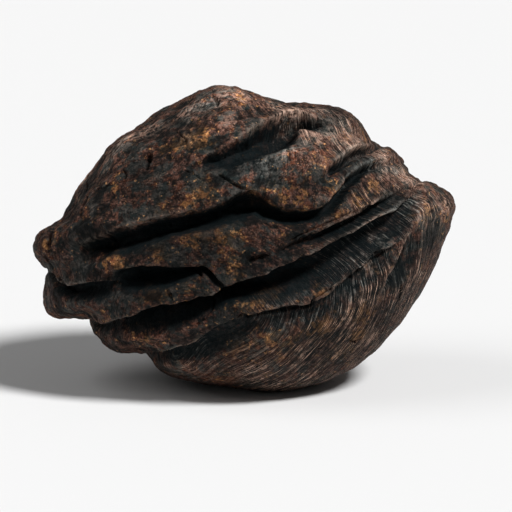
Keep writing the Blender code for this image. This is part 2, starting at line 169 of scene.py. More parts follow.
# ------------------------------------------------------------
# The ledges. The crust is folded into long ledges that climb to the right and overhang the grooves under
# them. Each is cut along a path laid on the body, with its groove on the right of the path seen from outside.

Ledge = namedtuple("Ledge", "points undercut lip")


def front(*points):
    """Points on the carved face, each with the sizes there."""
    return [(x, z, FRONT, *sizes) for x, z, *sizes in points]


def back(*points):
    return [(x, z, BACK, *sizes) for x, z, *sizes in points]


LEDGES = {  # (x, z, drop, width)
    "crown": Ledge(front(
        (-82, -3, 1, 6), (-76, 1.5, 7, 10), (-67, 3.5, 12, 13), (-55.5, 7, 14, 14),
        (-43.5, 10.5, 14, 13), (-28.5, 13, 14, 12), (-18.5, 15, 14, 12), (-10.5, 18, 14, 13),
        (-3.5, 22.5, 14, 15), (4, 24, 14, 17), (10.5, 22, 13, 14), (15.5, 17.5, 11, 11),
        (21, 15, 10, 9), (29, 14.5, 9, 8), (36, 16.5, 9, 8), (41, 20.5, 10, 8), (45, 25.5, 10, 7),
        (49.5, 30.5, 8, 7), (55, 35, 7, 6), (61, 37.5, 6, 6), (68, 38.5, 4, 5), (75, 38.5, 1, 4),
    ) + back(
        (78, 36, 1, 6), (66, 31, 7, 10), (44, 26, 10, 13), (18, 27, 8, 13), (-4, 33, 2, 10),
    ), 2.2, 1.2),
    "top_hollow": Ledge(front(
        (-27, 34, 0, 8), (-19, 39.5, 5, 11), (-9, 45.5, 9, 14), (0, 51, 12, 17), (8, 56.5, 14, 19),
        (14, 60, 14, 19), (21, 62, 13, 18), (28, 61.5, 11, 16), (35.5, 59, 7, 12), (44, 55.5, 0, 9),
    ), 2.0, 0.8),
    "upper_right": Ledge(front(
        (36, 28, 0, 4), (40, 33, 5, 5), (44, 37.5, 9, 5.5), (48.5, 42, 11, 6.5), (53.5, 45, 10, 6.5),
        (59, 46, 6, 6), (64.5, 46.5, 2, 5),
    ) + back(
        (66, 46, 1, 6), (50, 46, 7, 10), (28, 45, 5, 11), (8, 48, 0, 8),
    ), 1.5, 0.8),
    "shelf": Ledge(front(
        (18, -5, 1, 3), (26, -0.5, 4, 4), (33, 2.5, 6, 5), (39, 5.5, 7, 5), (46, 8.5, 8, 5),
        (53, 12, 8, 5), (60.5, 16, 8, 5), (67, 19.5, 5, 5), (74, 22.5, 3, 5), (80, 25.5, 2, 5),
        (84, 28, 1, 5),
    ) + back(
        (86, 28, 1, 6), (80, 20, 0, 5),
    ), 1.5, 1.0),
    "main_groove": Ledge(front(
        (-70, -41, 0, 8), (-61, -37.5, 9, 12), (-51.5, -34, 15, 15), (-40.5, -30.5, 19, 16),
        (-30, -29, 20, 14), (-19, -26, 20, 11), (-12.5, -24, 19, 10), (-6, -21, 18, 12),
        (3, -18, 17, 14), (10.5, -16, 16, 17), (16, -13, 16, 18), (22, -10.5, 16, 19),
        (29, -7.5, 15, 20), (36, -4.5, 14, 20), (42, -1, 13, 20), (52, 4, 12, 19), (58.5, 8, 12, 18),
        (66, 12, 11, 16), (73, 15.5, 9, 14), (79, 19.5, 6, 11), (83.5, 24, 1, 7),
    ), 2.2, 1.2),
    "middle_recess": Ledge(front(
        (-69, -19, 0, 8), (-60, -14, 9, 13), (-51.5, -12.5, 14, 14), (-43.5, -13, 14, 13),
        (-35, -13.5, 13, 10), (-26.5, -13, 12, 7), (-19, -13, 9, 5), (-15, -15, 8, 5),
        (-11.5, -19, 6, 4), (-9, -22, 1, 3),
    ), 1.5, 0.8),
    "left_recess": Ledge(back(
        (-86, -14, 0, 6), (-96, -14.5, 1.5, 6),
    ) + front(
        (-99, -14.5, 1.5, 4), (-96, -15.5, 4, 5), (-92, -19, 6, 7), (-87, -22, 8, 8),
        (-80, -21, 10, 10), (-73, -20.5, 9, 11), (-66, -21, 5, 10), (-59, -22, 0, 8),
    ), 1.5, 0.8),
    "lower_left_cleft": Ledge(back(
        (-62, -32, 0, 6), (-74, -37, 3, 8),
    ) + front(
        (-80, -40, 1, 4), (-75, -40.5, 5, 6), (-69, -41.5, 6, 8), (-62, -41.5, 4, 9), (-54, -40, 2, 9),
        (-46, -37, 0, 8),
    ), 1.0, 0.8),
    "belly_lip": Ledge(back(
        (-36, -48, 0, 8), (-46, -54, 2, 9),
    ) + front(
        (-52, -57, 1, 5), (-47, -56, 4, 8), (-40.5, -54.5, 6, 11), (-33.5, -52.5, 6, 12),
        (-26.5, -50.5, 6, 13), (-20.5, -47, 5, 13), (-15.5, -43.5, 4.5, 14), (-9, -40, 4, 14),
        (0.5, -37, 3.5, 14), (8.5, -34.8, 3.5, 14), (16, -33.2, 3.5, 14), (23.5, -32, 4, 14),
        (30, -32, 4.5, 14), (39, -28, 4.5, 14), (45.5, -23, 5, 14), (54.5, -16, 5.5, 13),
        (60.5, -11.8, 5, 12), (65.5, -7, 4, 11), (70, -4.8, 3, 9), (78, 0.5, 1, 6),
    ), 1.8, 1.0),
    "left_nub": Ledge(front(
        (-82, 19, 0, 4), (-87, 13.5, 2.5, 5), (-91, 8, 4, 6), (-93.5, 3, 4.5, 6), (-94.5, -2.5, 4, 5),
        (-94, -7, 3, 5), (-92, -12, 0, 4),
    ), 0.8, 0.5),
    "shoulder_leaf": Ledge(front(
        (68, -33, 0, 8), (68.5, -27, 2, 9), (70, -21, 4, 11), (73, -15, 5, 12), (76, -9, 5, 12),
        (78.5, -3, 4, 11), (80.5, 4, 2, 9), (83, 11, 0, 8),
    ), 0.8, 0.4),
    "back_shelf": Ledge(back(
        (92, 0, 1, 8), (78, 2, 6, 11), (58, -2, 11, 15), (34, -3, 13, 16), (8, 3, 12, 15),
        (-16, 8, 9, 13), (-40, 8, 10, 13), (-62, 2, 7, 11), (-84, 2, 1, 8),
    ), 2.0, 1.2),
    "back_keel": Ledge(back(
        (70, -36, 1, 8), (50, -32, 7, 13), (26, -30, 9, 14), (0, -24, 10, 14), (-24, -20, 9, 13),
        (-46, -21, 5, 11), (-60, -25, 1, 8),
    ), 1.5, 1.0),
    "back_crown": Ledge(back(
        (-12, 55, 1, 8), (-28, 48, 7, 12), (-46, 38, 9, 13), (-62, 28, 6, 11), (-76, 20, 1, 8),
    ), 1.5, 1.0),
}
WALL_SHARE, WALL_LEAST = 0.055, 0.55  # how wide the wall under the edge is: a share of the width, and this
FAR_SIDE = (0.45, 1.15)  # the groove's far side comes up between these shares of the width
LIP_BACK, LIP_WIDTH = 1.6, 2.2  # the swelling over the edge: how far back it lies, and how wide it is
LEAN_BACK, LEAN_WIDTH = 0.8, 2.6  # the same for how the edge leans out over the groove
FULL_DROP = 8.0  # a groove shallower than this has less lip and lean
END_FADE = 0.4  # past a path's end the groove fades within this share of its width
PATH_BLEND = 0.7  # parts of a path that lie within about this much of each other share their effect
REACH = 24.0  # nothing is changed further than this from a path
EDGE_WANDER = [(0.8, 7.5), (0.35, 2.9)]  # how far the edges wander from their paths, and over what length
SHADED_DROP = 9.0  # a groove this deep gets its full painted shade
PALE_EDGE_BACK, PALE_EDGE_WIDTH = 0.7, 0.8  # the pale edge, worn and with a painted highlight: how far back it lies, and how wide it is


def laid_on_body(points, samples=5):
    """A smooth path through the points, laid on the body: its places, ways along, normals and two sizes."""
    rows = np.array([[*direction_of(x, z, side), *sizes] for x, z, side, *sizes in points])
    rows = np.vstack([2 * rows[0] - rows[1], rows, 2 * rows[-1] - rows[-2]])
    steps = []
    for before, start, end, after in zip(rows, rows[1:], rows[2:], rows[3:]):
        for t in np.arange(samples) / samples:
            steps.append(0.5 * (
                2 * start + (end - before) * t + (2 * before - 5 * start + 4 * end - after) * t * t
                + (3 * start - before - 3 * end + after) * t**3
            ))
    steps = np.array([*steps, rows[-2]])
    ways = unit(steps[:, :3])
    places = on_body(ways)
    return places, unit(np.gradient(places, axis=0)), body_normals(ways), steps[:, 3:]


def beside_path(places, path):
    """For each place: its signed distance to the right of the path, its plain distance, the sizes there and
    the way across, each blended between the parts of the path that lie about equally near."""
    spots, along, path_normals, sizes = path
    start, step = spots[:-1], np.diff(spots, axis=0)
    sideways = unit(np.cross(along, path_normals))
    found = []
    for some in np.array_split(places, len(places) // 2000 + 1):
        offset = some[:, None, :] - start
        t = np.clip((offset * step).sum(2) / (step**2).sum(1), 0, 1)[:, :, None]
        gap = offset - t * step
        distance = np.sqrt((gap**2).sum(2))
        across = sideways[:-1] * (1 - t) + sideways[1:] * t
        nearness = np.exp((distance.min(1, keepdims=True) - distance) / PATH_BLEND)
        nearness /= nearness.sum(1, keepdims=True)
        side = (nearness * (gap * across).sum(2)).sum(1)
        here = (nearness[:, :, None] * (sizes[:-1] * (1 - t) + sizes[1:] * t)).sum(1)
        across = unit((nearness[:, :, None] * across).sum(1))
        found.append((side, distance.min(1), here, across))
    return [np.concatenate(rows) for rows in zip(*found)]


def near_path(places, path):
    """Which places lie within reach of the path, found roughly by its sample points."""
    chosen = np.zeros(len(places), bool)
    for spot in path[0][::4]:
        chosen |= ((places - spot) ** 2).sum(1) < (1.5 * REACH) ** 2
    return np.flatnonzero(chosen)


edge_wander = np.array([
    sum(far * noise.noise(Vector(place) / length) for far, length in EDGE_WANDER) for place in body_places
])
groove_painted_shade = np.zeros(len(directions))  # how much painted shade each point gets in a groove, from 0 to 1
edge_wear_and_highlight = np.zeros(len(directions))  # how near each point is to a ledge's edge, from 0 to 1
for ledge in LEDGES.values():
    path = laid_on_body(ledge.points)
    near = near_path(body_places, path)
    side, distance, sizes, across = beside_path(body_places[near], path)
    drop, width = sizes[:, 0], np.maximum(sizes[:, 1], 2.0)
    past_end = np.sqrt(np.maximum(distance**2 - side**2, 0.0))
    side += edge_wander[near]
    drop = drop * bell(past_end, END_FADE * width)
    wall = WALL_SHARE * width + WALL_LEAST
    low, high = FAR_SIDE
    groove = smoothstep(-0.4 * wall, wall, side) * (1 - smoothstep(low * width, high * width, side))
    telling = np.clip(drop / FULL_DROP, 0, 1)
    lip = bell(side + LIP_BACK, LIP_WIDTH) * telling
    lean = bell(side + LEAN_BACK, LEAN_WIDTH) * telling
    shift[near] += (ledge.lip * lip - drop * groove)[:, None] * normals[near]
    shift[near] += (ledge.undercut * lean)[:, None] * across
    # Painted shade in the groove: from under its edge across its floor, fuller as the groove is deeper.
    dark = smoothstep(-0.1 * wall, 0.5 * wall, side) * (1 - smoothstep(0.7 * width, 1.25 * width, side))
    groove_painted_shade[near] = np.maximum(groove_painted_shade[near], dark * np.clip(drop / SHADED_DROP, 0, 1))
    edge_wear_and_highlight[near] = np.maximum(edge_wear_and_highlight[near], bell(side + PALE_EDGE_BACK, PALE_EDGE_WIDTH) * telling)

# ------------------------------------------------------------
# The ridges and hollows. Between the ledges the stone swells into ridges, and the air has pressed thumbprint
# hollows into its back and sides. The rest is lumps and creases drawn out along the ledges.

RIDGES = {  # (x, z, height, half width)
    "shoulder": front(
        (70, -1, 0, 8), (82, 7, 2, 9), (93, 15, 1, 8),
    ) + back(
        (99, 19, 0, 8),
    ),
    "belly_fold": front(
        (-66, -50, 0, 8), (-54, -47, 3, 9), (-34, -44, 3, 8), (-12, -36, 2, 7), (14, -30, 1, 6),
        (30, -27, 0, 5),
    ),
    "finger": front(
        (-90, -28, 0, 7), (-72, -30, 2, 7), (-50, -27, 2.5, 6), (-30, -23, 2.5, 5), (-16, -20, 2, 4),
        (-10, -21, 0, 4),
    ),
    "middle": front(
        (-70, -8, 0, 9), (-50, -2, 2, 9), (-22, 2, 2.5, 10), (-2, 2, 3, 11), (18, 0, 2, 10),
        (36, 10, 0, 8),
    ),
    "upper_bulge": front(
        (8, 36, 0, 12), (24, 32, 4, 13), (38, 26, 2, 9), (46, 24, 0, 7),
    ),
}
HOLLOWS = [  # (x, z, side, depth, radius along, radius across, turn in degrees)
    (-75, -4, FRONT, 6, 12, 8, 20), (22, 48, FRONT, 2, 18, 8, 20), (-30, 62, BACK, 5, 22, 13, 25),
    (42, 58, BACK, 4, 20, 11, -30), (-70, -12, BACK, 5, 18, 11, 10), (60, -52, BACK, 5, 20, 12, 40),
    (-20, -48, BACK, 5, 24, 12, -8), (96, -4, BACK, 4, 14, 10, 70), (18, 14, BACK, 3, 20, 8, 5),
    (-50, 26, BACK, 3, 16, 8, 20), (60, 22, BACK, 4, 14, 10, -15), (-6, 40, BACK, 4, 16, 11, 10),
    (34, -16, BACK, 3, 15, 8, 0), (-78, 12, BACK, 3, 11, 8, 50),
]
HOLLOW_RIM = 0.25  # the height of the rim round a hollow, as a share of its depth
RIM_AT, RIM_WIDTH = 1.35, 0.25  # where that rim lies and how wide it is, as shares of the hollow's radius
LEDGE_SLOPE = math.radians(22.0)
LEDGE_STRETCH = 1.9
BELLY_TOP = -36.0
BELLY_ROUGH = 0.25  # how much of the lumps and creases is left on the belly
TOP_ROUGH, ROUGH_FADE = 0.35, 10.0  # how much is left at its top, and how far up it grows by one
BROAD_SIZE, BROAD_HEIGHT = 34.0, 1.5
LUMP_SIZE, LUMP_HEIGHT = 15.0, 2.4
SMALL_SIZE, SMALL_HEIGHT = 6.5, 1.0
FINEST_SIZE, FINEST_SHARE = 4.0, 0.6  # the finest lumps, as a share of the small ones
LUMPS_FROM, SMALL_FROM = Vector((7.1, 3.3, 9.2)), Vector((1.7, 8.3, 4.4))  # so that their creases don't meet
MEAN_HEIGHT = 0.5

for points in RIDGES.values():
    path = laid_on_body(points)
    near = near_path(body_places, path)
    _, distance, sizes, _ = beside_path(body_places[near], path)
    shift[near] += (sizes[:, 0] * bell(distance, sizes[:, 1]))[:, None] * normals[near]

for x, z, side, depth, radius_along, radius_across, turn in HOLLOWS:
    way = direction_of(x, z, side)[None]
    centre, normal = on_body(way)[0], body_normals(way)[0]
    right = unit(np.cross([[0, 0, 1.0]], normal))[0]
    up = np.cross(normal, right)
    turn = math.radians(turn)
    along = math.cos(turn) * right + math.sin(turn) * up
    other = np.cross(normal, along)
    offset = body_places - centre
    away = ((offset @ along) / radius_along) ** 2 + ((offset @ other) / radius_across) ** 2
    away += ((offset @ normal) / radius_along) ** 2
    scoop = np.exp(-(away**1.5)) - HOLLOW_RIM * bell(np.sqrt(away) - RIM_AT, RIM_WIDTH)
    shift -= (depth * scoop)[:, None] * normals


def unevenness(place):
    """Lumps and creases drawn out along the ledges, in millimetres of height; the belly is smoother."""
    along = place.x * math.cos(LEDGE_SLOPE) + place.z * math.sin(LEDGE_SLOPE)
    up = place.z * math.cos(LEDGE_SLOPE) - place.x * math.sin(LEDGE_SLOPE)
    drawn = Vector((along / LEDGE_STRETCH, place.y, up))
    broad = noise.noise(place / BROAD_SIZE)
    lumps = abs(noise.noise(drawn / LUMP_SIZE + LUMPS_FROM))
    small = abs(noise.noise(drawn / SMALL_SIZE + SMALL_FROM))
    small += FINEST_SHARE * noise.noise(place / FINEST_SIZE)
    rough = min(max((up - BELLY_TOP) / ROUGH_FADE + TOP_ROUGH, BELLY_ROUGH), 1.0)
    return BROAD_HEIGHT * broad + rough * (LUMP_HEIGHT * lumps + SMALL_HEIGHT * small - MEAN_HEIGHT)


uneven = np.array([unevenness(Vector(place)) for place in body_places])
shape = body_places + shift + uneven[:, None] * normals
stone.data.vertices.foreach_set("co", shape.ravel())
stone.data.update()

# ------------------------------------------------------------
# The flow lines. Melted crust ran back over the stone in fine strands, round the middle of the carved face
# and down over the belly. They are combed here: how they run at some places of the face sets them everywhere.

COMBED = [  # (x, z, the way the strands run in degrees with the outside on their right, how plain they are)
    (28, -40, 61, 1.0), (44, -36, 80, 1.0), (56, -25, 87, 1.0), (65, -16, 92, 0.9), (73, -24, 82, 0.9),
    (71, -44, 65, 0.9), (57, -49, 54, 0.9), (32, -56, 43, 0.8), (18, -69, 31, 0.9), (8, -46, 48, 0.8),
    (6, -59, 31, 0.8), (46, -67, 38, 0.9), (88, -11, 80, 1.0), (95, -14, 70, 0.9), (77, -39, 62, 0.9),
    (46, -10, 150, 0.9), (28, -22, 202, 0.3), (66, -3, 216, 0.5), (7, 54, 130, 0.4), (26, 57, 105, 0.75),
    (43, 59, 130, 0.7), (53, 32, 125, 1.0), (72, 39, 130, 0.7), (78, 13, 115, 1.0), (55, 4, 135, 1.0),
    (87, 3, 87, 0.9), (95, 15, 115, 0.7), (-37, 60, 211, 0.4), (-52, 50, 213, 0.4), (-66, 40, 228, 0.4),
    (-78, 25, 240, 0.5), (-4, 71, 172, 0.4), (-97, 0, 260, 0.4), (-78, 4, 280, 0.4), (-40, 6, 188, 0.5),
    (-86, -30, 310, 0.4), (-22, -50, 28, 0.8), (-34, -62, 18, 0.6), (-48, -49, 194, 0.05),
    (-15, -38, 198, 0.05), (-32, 29, 210, 0.05), (-7, 39, 170, 0.1), (36, 28, 120, 0.05),
    (-7, 4, 190, 0.05), (23, 9, 200, 0.05), (-25, -19, 192, 0.05), (-62, -6, 200, 0.1),
    (66, 24, 130, 0.7), (40, 16, 205, 0.3), (-50, 24, 200, 0.1),
]
COMB_SPREAD = 22.0
EVEN_WEIGHT = 0.6  # how much the strands' even width counts beside their direction
STEADY = 0.05
PLAIN_SPREAD = 9.0
PLAIN_ELSEWHERE, ELSEWHERE_WEIGHT = 0.5, 0.05  # how plain they are far from these places, and what it counts
LEAST_PLAIN = 0.25  # the faintest strands still count this much in the combing
LIP_GAP = 14.0  # under the belly's lip the strands start anew: they are combed as if this much further down
LIP_SOFT = 0.6
LIP_CLOSES = (-24, 14)  # the gap closes between these distances past the lip's right end


def unrolled(ways):
    """Where these directions lie on the body unrolled round the middle of the face, about in millimetres."""
    away = np.arccos(np.clip(-ways[:, 1], -1, 1))
    across = np.maximum(np.hypot(ways[:, 0], ways[:, 2]), 1e-9)
    radius = away * broad_radius(np.arctan2(ways[:, 2], ways[:, 0]))
    return ways[:, [0, 2]] / across[:, None] * radius[:, None]


def hills(places, tops):
    """A hill's height and slope at each place, for hills with these tops."""
    gap = places[:, None] - tops
    height = np.sqrt((gap**2).sum(2) + COMB_SPREAD**2)
    return height, gap / height[:, :, None]


lip_ways = [direction_of(*point[:3]) for point in LEDGES["belly_lip"].points if point[2] == FRONT]
lip_line = unrolled(np.array(lip_ways))


def parted(places):
    """The unrolled places with the belly's drawn away from the lip above it, less and less to the right."""
    x, z = places.T
    past = x - lip_line[-1, 0]
    below = smoothstep(-LIP_SOFT, LIP_SOFT, np.interp(x, *lip_line.T) - z)
    return places - np.stack([0 * x, LIP_GAP * below * (1 - smoothstep(*LIP_CLOSES, past))], axis=1)


combed_at, outward = [], []
for x, z, slope, _ in COMBED:
    step = np.array([math.cos(math.radians(slope)), math.sin(math.radians(slope))])
    here = unrolled(np.array([direction_of(x + s * step[0], z + s * step[1], FRONT) for s in (-1, 1)]))
    strand = here[1] - here[0]
    combed_at.append(here.mean(0))
    outward.append(np.array([strand[1], -strand[0]]) / np.linalg.norm(strand))
combed_at, outward = np.array(combed_at), np.array(outward)
places_unrolled = unrolled(directions)
gap2 = ((places_unrolled[:, None] - combed_at) ** 2).sum(2)
weight = np.exp(-gap2 / (2 * PLAIN_SPREAD**2))
plainness = np.array([row[3] for row in COMBED])
strands = (weight @ plainness + ELSEWHERE_WEIGHT * PLAIN_ELSEWHERE) / (weight.sum(1) + ELSEWHERE_WEIGHT)

counts = np.maximum(plainness, LEAST_PLAIN)[:, None]
tops = parted(combed_at)
_, slopes = hills(tops, tops)
downhill = np.einsum("ijk,ik->ij", slopes, outward) * EVEN_WEIGHT * counts
sideways = np.einsum("ijk,ik->ij", slopes, outward[:, ::-1] * [1, -1]) * counts
wanted = np.concatenate([EVEN_WEIGHT * counts[:, 0], np.zeros(len(combed_at) + len(tops))])
asked = np.vstack([downhill, sideways, STEADY * np.eye(len(tops))])
hill_heights = np.linalg.lstsq(asked, wanted, rcond=None)[0]
heights, _ = hills(parted(places_unrolled), tops)
flow = heights @ hill_heights

# ------------------------------------------------------------
# The rust. The iron in the crust has rusted into orange and ochre blooms on what stands out, between bare
# slaty patches. Here the stone is marked with them and with how pale it is, partly painted light and shade,
# for the relief and the finish.

BLOOMS = [  # (x, z, radius, amount)
    (-31, 46, 7, 1.0), (-21, 49, 7, 1.0), (-40, 43, 4, 0.7), (-16, 61, 4, 0.5), (-63, 24, 4, 0.9),
    (-61, 31, 4, 0.5), (-18, 22, 6, 0.9), (-26, 18, 4, 1.0), (-39, 16, 5, 0.5), (-72, -8, 5, 0.9),
    (-64, -5, 7, 0.9), (-59, -13, 5, 0.8), (-40, -7, 5, 0.8), (-24, 0, 7, 0.6), (-8, -1, 8, 0.9),
    (-4, -15, 5, 1.0), (48, -34, 6, 0.2), (26, -49, 7, 0.5), (-47, -26, 6, 0.9), (-39, -25, 5, 0.8),
    (-27, -22, 5, 0.5), (-19, -15, 4, 0.6), (-49, -47, 8, 0.7), (-67, -36, 5, 0.6), (-78, 10, 4, 0.9),
    (-96, -2, 8, 0.5), (36, 36, 6, 0.2), (38, -44, 8, 0.6), (23, 28, 8, 0.25), (32, 27, 5, 0.3),
    (42, 24, 4, 0.9), (12, 25, 3, 0.9), (5, 22, 4, 1.0), (18, 20, 5, 0.6), (30, 18, 5, 0.5),
    (75, 29, 4, 0.4), (45, 12, 4, 0.8), (63, 26, 4, 0.7), (55, 19, 5, 0.6), (49, 49, 5, 0.5),
    (58, 51, 6, 0.5), (-2, 68, 6, 0.6), (-8, 61, 5, 0.2), (37, -26, 5, 1.0), (16, -27, 4, 0.9),
    (5, -31, 8, 0.8), (-7, -32, 7, 0.6), (14, -49, 5, 0.9), (5, -47, 7, 0.5), (-4, -55, 8, 0.6),
    (19, -57, 6, 0.6), (58, -38, 6, 0.7), (57, -48, 5, 1.0), (65, -16, 5, 0.6), (-10, -69, 9, 0.6),
    (89, 14, 5, 0.6), (84, 8, 4, 0.4), (46, -58, 12, 0.4), (97, 6, 8, 0.5), (24, 8, 8, 0.5),
]
SLATES = [  # (x, z, radius, amount): where the crust is bare of rust, and slaty
    (4, 38, 9, 0.8), (-6, 30, 7, 0.7), (20, 47, 7, 0.7), (12, 33, 8, 0.9), (-15, 66, 8, 0.8),
    (18, 42, 6, 0.5), (-8, 55, 6, 0.4), (4, 33, 7, 0.9), (80, 16, 7, 0.9), (93, 12, 7, 0.4),
    (97, 2, 6, 0.5), (26, 25, 7, 0.3), (58, 38, 6, 0.7), (72, 20, 6, 0.6), (49, 32, 5, 0.8),
    (36, 55, 6, 0.6), (46, 60, 7, 0.7), (-10, -48, 13, 0.8), (14, -41, 8, 0.7), (-30, -57, 8, 0.5),
    (50, -25, 6, 0.5), (77, -19, 7, 1.0), (69, -1, 6, 0.8), (88, -4, 8, 0.8), (93, 3, 7, 0.8),
    (62, 35, 7, 1.0), (50, 22, 5, 0.8), (52, 37, 7, 1.0), (74, 33, 5, 0.5), (-42, 4, 8, 0.7),
    (-12, 11, 8, 0.6), (-62, 42, 7, 0.5), (-50, 33, 7, 0.6), (-74, 18, 7, 0.5), (-50, 22, 7, 0.5),
    (-36, 28, 6, 0.5), (-80, -17, 9, 0.8), (-60, -22, 7, 0.6), (-34, -16, 6, 0.5), (54, -2, 10, 0.8),
    (30, -20, 9, 0.6), (-8, -26, 8, 0.6), (-60, -36, 8, 0.5), (70, 14, 8, 0.6), (-25, 64, 7, 0.4),
    (-82, 4, 6, 0.6), (14, 4, 6, 0.3), (-88, -36, 7, 0.4),
]
TONES_AND_PAINTED_LIGHT = [  # (x, z, radius, amount): where the crust is made paler or darker, partly painted light and shade, partly its own tone
    (52, 50, 13, 0.8), (68, 40, 12, 0.8), (80, 28, 10, 0.8), (34, 47, 9, 0.5), (98, 14, 10, 0.6),
    (20, 64, 12, 1.0), (-4, 70, 13, 0.8), (-26, 63, 12, 0.6), (-44, 54, 11, 0.5), (-66, 42, 11, 0.7),
    (-84, 30, 8, 1.0), (10, 34, 8, 0.5), (22, 41, 7, 0.8), (-8, 56, 9, 0.5), (34, 24, 8, -0.5),
    (42, 12, 8, -0.5), (-47, 24, 16, -0.6), (-32, 18, 12, -0.5), (-16, 16, 9, -0.6), (-34, -2, 10, -0.7),
    (-16, 0, 11, -0.8), (4, 0, 12, -0.7), (20, -2, 9, -0.4), (-20, -20, 11, -0.8), (-44, -25, 12, -0.6),
    (-85, -8, 13, -0.6), (-104, -14, 8, -0.7), (-94, -26, 9, -0.5), (92, 1, 8, -1.1), (97, -8, 8, -0.9),
    (62, -18, 8, 0.4), (52, -33, 9, 0.3), (82, 12, 8, 0.4), (71, 6, 7, 0.3), (69, -1, 6, 0.8),
    (55, -13, 5, 0.5), (84, -22, 7, -0.3), (77, -18, 6, -1.3), (77, -28, 5, -0.8), (-12, -48, 12, -0.9),
    (-30, -64, 10, 0.3), (-4, -35, 7, -0.5), (8, -40, 9, -0.3), (62, -16, 7, 0.3), (70, -40, 14, -0.3),
    (44, -1, 9, -1.2), (50, 36, 6, -0.5), (60, 33, 6, -0.5), (66, 29, 5, 0.5), (76, 30, 5, 0.6),
    (68, 19, 4, -0.5), (72, 14, 5, 0.1), (77, 21, 5, -0.5), (86, 11, 5, 0.5), (24, 10, 7, -0.4),
    (-36, -17, 8, -0.7), (-52, -17, 8, -0.6), (-5, -17, 8, -0.6), (-18, -1, 8, -0.7), (30, 15, 7, -0.5),
    (-50, 31, 8, -0.6), (-28, 48, 9, 0.45), (-98, -17, 8, -0.7), (-60, -34, 9, -0.4), (-6, -33, 7, -0.7),
    (79, 32, 5, 0.7), (70, 31, 5, 0.4), (58, 38, 6, -0.4), (49, 32, 5, -0.4), (88, 16, 5, 0.4),
    (78, 17, 5, 0.3), (52, 38, 6, 0.3), (26, 25, 8, -0.3), (38, -43, 9, 0.25), (-18, 23, 6, -0.4),
    (30, 54, 6, 0.4), (40, 51, 6, 0.4), (-15, 66, 7, 0.3), (-56, 50, 10, 0.5), (-76, 34, 9, 0.5),
    (10, 70, 10, 0.4), (38, 64, 9, 0.6), (-99, -2, 8, -0.4), (-96, -20, 9, -0.5), (-82, -17, 9, -0.3),
    (-34, -17, 9, -0.5), (14, -17, 8, -0.5), (46, -1, 8, -0.6), (-44, -32, 10, -0.4), (30, -48, 20, -0.2),
    (-10, -60, 16, -0.15), (93, 0, 9, -0.5),
]
BLOOM_START = 0.15
TONE_AND_LIGHT_RANGE = (-1.8, 1.25)
BEHIND = (0.2, 0.4)  # past the first depth clouds make the marks; the tone blends over to them by the second
CLOUD_SIZE, CLOUD_SPREAD = 21.0, 1.4
NOISE_SEED = 1795473363  # fixes the clouds here and how the cracks stray, so every run is the same


def patched(places, marks, start=0.0):
    """The sum of soft round patches at these places on the face, over an even start."""
    total = np.full(len(places), start)
    for x, z, radius, amount in marks:
        centre = unrolled(direction_of(x, z, FRONT)[None])
        total += amount * bell(np.linalg.norm(places - centre, axis=1), radius)
    return total


blooms = np.clip(patched(places_unrolled, BLOOMS, BLOOM_START), 0, 1)
slates = np.clip(patched(places_unrolled, SLATES), 0, 1)
tones_and_painted_light = np.clip(patched(places_unrolled, TONES_AND_PAINTED_LIGHT), *TONE_AND_LIGHT_RANGE)
behind = directions[:, 1] > BEHIND[0]
noise.seed_set(NOISE_SEED)
clouds = np.array([noise.noise_vector(Vector(place) / CLOUD_SIZE) for place in body_places[behind]])
blooms[behind] = np.clip(0.3 + CLOUD_SPREAD * clouds[:, 0], 0, 0.9)
slates[behind] = np.clip(0.2 - CLOUD_SPREAD * clouds[:, 2], 0, 0.8)
tones_and_painted_light[behind] += (clouds[:, 1] - tones_and_painted_light[behind]) * smoothstep(*BEHIND, directions[behind, 1])

for name, values in {
    "flow": flow, "strands": strands, "rust": blooms, "slate": slates, "tone": tones_and_painted_light,
    "groove": groove_painted_shade, "edge": edge_wear_and_highlight, "lump": uneven,
}.items():
    stone.data.attributes.new(name, "FLOAT", "POINT").data.foreach_set("value", values)

# ------------------------------------------------------------
# The cracks. Shrinking as it cooled, the crust split along short cracks, and chips left notches. Their paths
# are laid on the carved stone from the front, a little jagged, and narrow to nothing at their ends.

